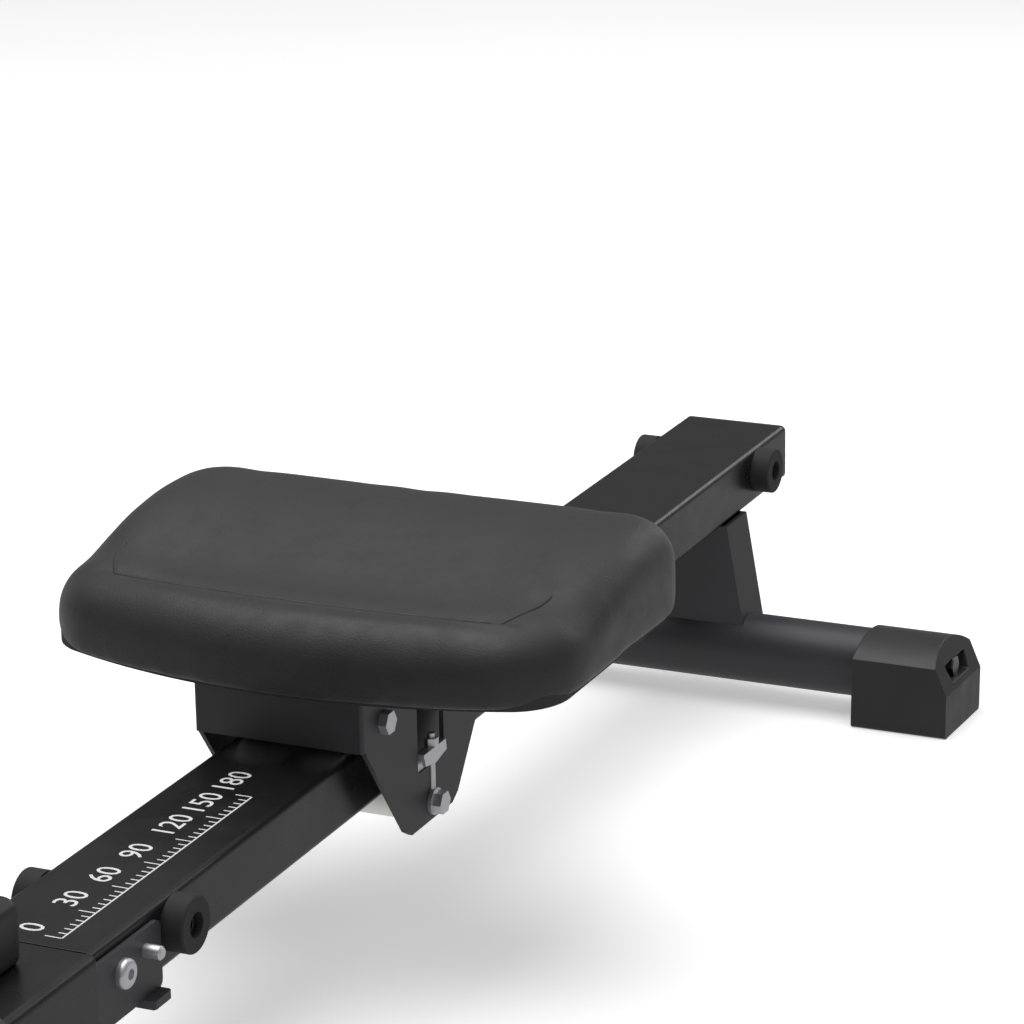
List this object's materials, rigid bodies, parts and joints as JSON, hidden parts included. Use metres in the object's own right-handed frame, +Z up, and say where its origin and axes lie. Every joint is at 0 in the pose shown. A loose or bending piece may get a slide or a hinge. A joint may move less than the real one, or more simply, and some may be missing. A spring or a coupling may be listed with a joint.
{
  "type": "rowing machine",
  "caption": "Folding magnetic rowing machine: box rail with a rolling padded seat, flared rear stand, flywheel housing, pull handle, footplates and tilting console.",
  "frame": {"origin": "on the floor, under the middle of the length and width", "axes": "+X towards the rear end of the rail, +Y to a seated rower's right as they face the housing at -X, +Z up"},
  "size_m": [1.9478, 0.446, 0.8496],
  "materials": {
    "powder_coat": "satin black powder coat",
    "black_plastic": "moulded, fine texture",
    "grey_plastic": "moulded, satin",
    "seat_vinyl": "matte grained vinyl",
    "rubber": "matte",
    "nylon": "natural nylon",
    "zinc": "bright zinc plate",
    "cast_iron": "turned and oiled",
    "webbing": "woven nylon",
    "foam": "closed-cell foam",
    "screen": "clear lens over display"
  },
  "bodies": {
    "front_frame": {"front_beam": "powder_coat", "hinge_bracket": "powder_coat", "fold_pivot_bolt": "zinc", "rail_rest_pad": "rubber", "front_stabiliser_tube": "powder_coat", "front_cap_left": "black_plastic", "front_cap_right": "black_plastic", "front_fasteners": "zinc", "beam_spine_cover": "black_plastic", "side_plates": "powder_coat", "drive_axles": "zinc", "cross_pins": "zinc", "drive_belt": "rubber", "recoil_spring_case": "grey_plastic", "housing_left": "black_plastic", "housing_right": "black_plastic", "housing_screws": "zinc", "foot_axle": "zinc", "console_mast": "powder_coat"},
    "rail": {"rail_tube": "powder_coat", "rail_end_cap": "black_plastic", "bump_stops": "rubber", "rail_fasteners": "zinc", "rear_post": "powder_coat", "rear_stabiliser_tube": "powder_coat", "rear_cap_left": "black_plastic", "rear_cap_right": "black_plastic"},
    "carriage": {"carriage_bracket": "powder_coat", "carriage_fasteners": "zinc", "roller_tensioners": "zinc", "seat_base_board": "black_plastic", "seat_pad": "seat_vinyl"},
    "upper_roller_front": {"upper_roller_front": "nylon"},
    "upper_roller_rear": {"upper_roller_rear": "nylon"},
    "lower_roller": {"lower_roller": "nylon"},
    "lock_pin": {"lock_pin": "black_plastic"},
    "transport_wheel_left": {"transport_wheel_left": "rubber"},
    "transport_wheel_right": {"transport_wheel_right": "rubber"},
    "flywheel": {"flywheel": "cast_iron", "flywheel_bearings": "zinc", "flywheel_pulley": "zinc"},
    "drive_pulley": {"drive_pulley": "grey_plastic"},
    "strap_drum": {"strap_drum": "grey_plastic"},
    "guide_roller": {"guide_roller": "nylon"},
    "brake": {"brake_arm": "zinc", "brake_magnets": "zinc"},
    "resistance_knob": {"resistance_knob": "grey_plastic"},
    "handle": {"handle_bar": "powder_coat", "handle_grips": "foam", "strap_yoke": "black_plastic", "pull_strap": "webbing"},
    "footplate_left": {"footplate_left": "black_plastic", "foot_strap_left": "webbing"},
    "footplate_right": {"footplate_right": "black_plastic", "foot_strap_right": "webbing"},
    "console": {"console_case": "black_plastic", "console_screen": "screen"},
    "button_mode": {"button_mode": "grey_plastic"},
    "button_set": {"button_set": "grey_plastic"},
    "button_reset": {"button_reset": "grey_plastic"}
  },
  "joints": [
    {"name": "rail_fold", "type": "hinge", "parent": "front_frame", "child": "rail", "pos_m": [-0.04467, 0, 0.11116], "axis": [0, -1, 0], "range_deg": [0, 82]},
    {"name": "seat_slide", "type": "slide", "parent": "rail", "child": "carriage", "axis": [0.9991, 0, 0.0419], "range_m": [-0.185, 0.495]},
    {"name": "upper_roller_front_spin", "type": "hinge", "parent": "carriage", "child": "upper_roller_front", "pos_m": [0.24645, 0, 0.1647], "axis": [0, 1, 0], "range_deg": [-539.06, 1440.67]},
    {"name": "upper_roller_rear_spin", "type": "hinge", "parent": "carriage", "child": "upper_roller_rear", "pos_m": [0.37433, 0, 0.17006], "axis": [0, 1, 0], "range_deg": [-539.06, 1440.67]},
    {"name": "lower_roller_spin", "type": "hinge", "parent": "carriage", "child": "lower_roller", "pos_m": [0.31451, 0, 0.09299], "axis": [0, 1, 0], "range_deg": [-2101.84, 786.16]},
    {"name": "lock_pin_pull", "type": "slide", "parent": "front_frame", "child": "lock_pin", "axis": [0, 1, 0], "range_m": [0, 0.1]},
    {"name": "transport_wheel_left_spin", "type": "hinge", "parent": "front_frame", "child": "transport_wheel_left", "pos_m": [-0.94585, -0.18, 0.036], "axis": [0, 1, 0], "continuous": true},
    {"name": "transport_wheel_right_spin", "type": "hinge", "parent": "front_frame", "child": "transport_wheel_right", "pos_m": [-0.94585, 0.18, 0.036], "axis": [0, 1, 0], "continuous": true},
    {"name": "flywheel_spin", "type": "hinge", "parent": "front_frame", "child": "flywheel", "pos_m": [-0.73785, 0, 0.29], "axis": [0, 1, 0], "continuous": true},
    {"name": "drive_pulley_spin", "type": "hinge", "parent": "front_frame", "child": "drive_pulley", "pos_m": [-0.57285, 0, 0.47], "axis": [0, 1, 0], "continuous": true},
    {"name": "strap_drum_turn", "type": "hinge", "parent": "front_frame", "child": "strap_drum", "pos_m": [-0.57285, 0, 0.47], "axis": [0, 1, 0], "range_deg": [0, 2034.08]},
    {"name": "guide_roller_turn", "type": "hinge", "parent": "front_frame", "child": "guide_roller", "pos_m": [-0.51785, 0, 0.4877], "axis": [0, 1, 0], "range_deg": [0, 5125.01]},
    {"name": "brake_swing", "type": "hinge", "parent": "front_frame", "child": "brake", "pos_m": [-0.78785, 0, 0.45], "axis": [0, 1, 0], "range_deg": [0, 8.1]},
    {"name": "resistance_knob_turn", "type": "hinge", "parent": "front_frame", "child": "resistance_knob", "pos_m": [-0.56785, 0, 0.59], "axis": [0, 0, 1], "range_deg": [0, 270]},
    {"name": "handle_pull", "type": "slide", "parent": "front_frame", "child": "handle", "axis": [1, 0, 0], "range_m": [0, 1.1], "stiffness_N_per_m": 25, "springref_m": -0.6, "deforming": ["pull_strap"]},
    {"name": "footplate_left_tilt", "type": "hinge", "parent": "front_frame", "child": "footplate_left", "pos_m": [-0.37285, 0, 0.105], "axis": [0, 1, 0], "range_deg": [-12, 15]},
    {"name": "footplate_right_tilt", "type": "hinge", "parent": "front_frame", "child": "footplate_right", "pos_m": [-0.37285, 0, 0.105], "axis": [0, 1, 0], "range_deg": [-12, 15]},
    {"name": "console_tilt", "type": "hinge", "parent": "front_frame", "child": "console", "pos_m": [-0.63985, 0, 0.778], "axis": [0, 1, 0], "range_deg": [-20, 20]},
    {"name": "button_mode_press", "type": "slide", "parent": "console", "child": "button_mode", "axis": [-0.5736, 0, -0.8192], "range_m": [0, 0.0015], "stiffness_N_per_m": 400},
    {"name": "button_set_press", "type": "slide", "parent": "console", "child": "button_set", "axis": [-0.5736, 0, -0.8192], "range_m": [0, 0.0015], "stiffness_N_per_m": 400},
    {"name": "button_reset_press", "type": "slide", "parent": "console", "child": "button_reset", "axis": [-0.5736, 0, -0.8192], "range_m": [0, 0.0015], "stiffness_N_per_m": 400}
  ],
  "couplings": [
    {"joint": "upper_roller_front_spin", "follows": "seat_slide", "rad_per_m": 50.761},
    {"joint": "upper_roller_rear_spin", "follows": "seat_slide", "rad_per_m": 50.761},
    {"joint": "lower_roller_spin", "follows": "seat_slide", "rad_per_m": -74.074},
    {"joint": "drive_pulley_spin", "follows": "flywheel_spin", "ratio": 0.27419},
    {"joint": "strap_drum_turn", "follows": "handle_pull", "rad_per_m": 32.258},
    {"joint": "guide_roller_turn", "follows": "handle_pull", "rad_per_m": 81.301},
    {"joint": "brake_swing", "follows": "resistance_knob_turn", "ratio": 0.02963}
  ]
}
